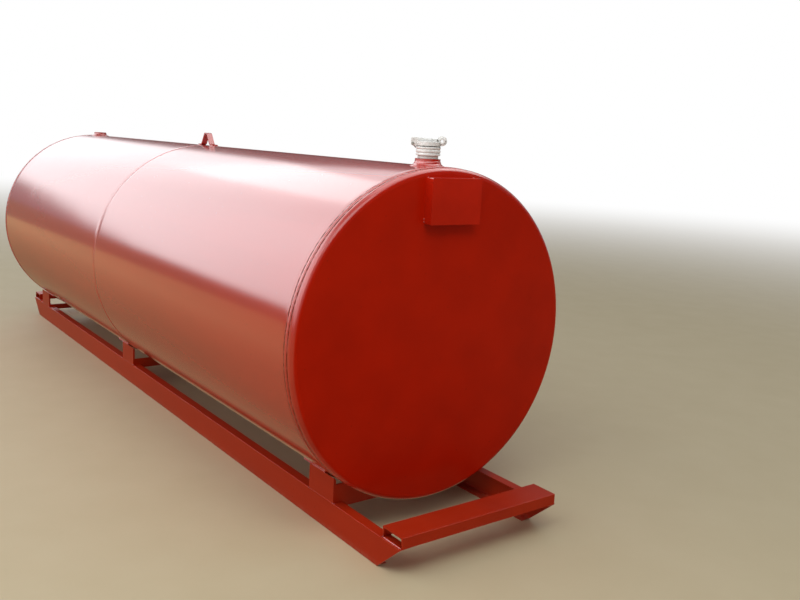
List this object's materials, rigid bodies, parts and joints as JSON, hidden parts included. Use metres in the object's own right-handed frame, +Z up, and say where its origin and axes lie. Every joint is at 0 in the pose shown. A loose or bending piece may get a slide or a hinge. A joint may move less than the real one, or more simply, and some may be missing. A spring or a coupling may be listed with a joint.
{
  "type": "horizontal storage tank on a skid",
  "caption": "Horizontal cylindrical storage tank with flat flanged heads on a channel-iron skid, with a hinged fill lid on top and a shallow box on one head.",
  "frame": {"origin": "on the ground under the middle of the skid", "axes": "+X along the tank toward the fill and box end, +Y across to the right skid beam, +Z up"},
  "size_m": [6.3, 1.6814, 1.9611],
  "materials": {
    "red_oxide_paint": "glossy red oxide paint over rolled steel plate",
    "cast_metal": "bare cast, dull and pale",
    "gasket": "matt black",
    "pin_steel": "plain turned steel"
  },
  "bodies": {
    "tank": {"near_shell_course": "red_oxide_paint", "far_shell_course": "red_oxide_paint", "near_head": "red_oxide_paint", "far_head": "red_oxide_paint", "near_head_weld": "red_oxide_paint", "far_head_weld": "red_oxide_paint", "girth_weld": "red_oxide_paint", "left_skid_beam": "red_oxide_paint", "right_skid_beam": "red_oxide_paint", "near_end_channel": "red_oxide_paint", "far_end_channel": "red_oxide_paint", "near_left_saddle_plate": "red_oxide_paint", "near_right_saddle_plate": "red_oxide_paint", "middle_left_saddle_plate": "red_oxide_paint", "middle_right_saddle_plate": "red_oxide_paint", "far_left_saddle_plate": "red_oxide_paint", "far_right_saddle_plate": "red_oxide_paint", "near_left_wear_pad": "red_oxide_paint", "near_right_wear_pad": "red_oxide_paint", "middle_left_wear_pad": "red_oxide_paint", "middle_right_wear_pad": "red_oxide_paint", "far_left_wear_pad": "red_oxide_paint", "far_right_wear_pad": "red_oxide_paint", "near_cross_plate": "red_oxide_paint", "middle_cross_plate": "red_oxide_paint", "far_cross_plate": "red_oxide_paint", "head_box": "red_oxide_paint", "fill_coupling": "red_oxide_paint", "lifting_lug": "red_oxide_paint", "top_bung": "red_oxide_paint", "fill_adapter": "cast_metal", "fill_gasket": "gasket", "lid_hinge_pin": "pin_steel"},
    "lid": {"fill_lid": "cast_metal"}
  },
  "joints": [
    {"name": "lid_hinge", "type": "hinge", "parent": "tank", "child": "lid", "pos_m": [2.51035, -0.05648, 1.9191], "axis": [0.7431, -0.6691, 0], "range_deg": [0, 110]}
  ]
}
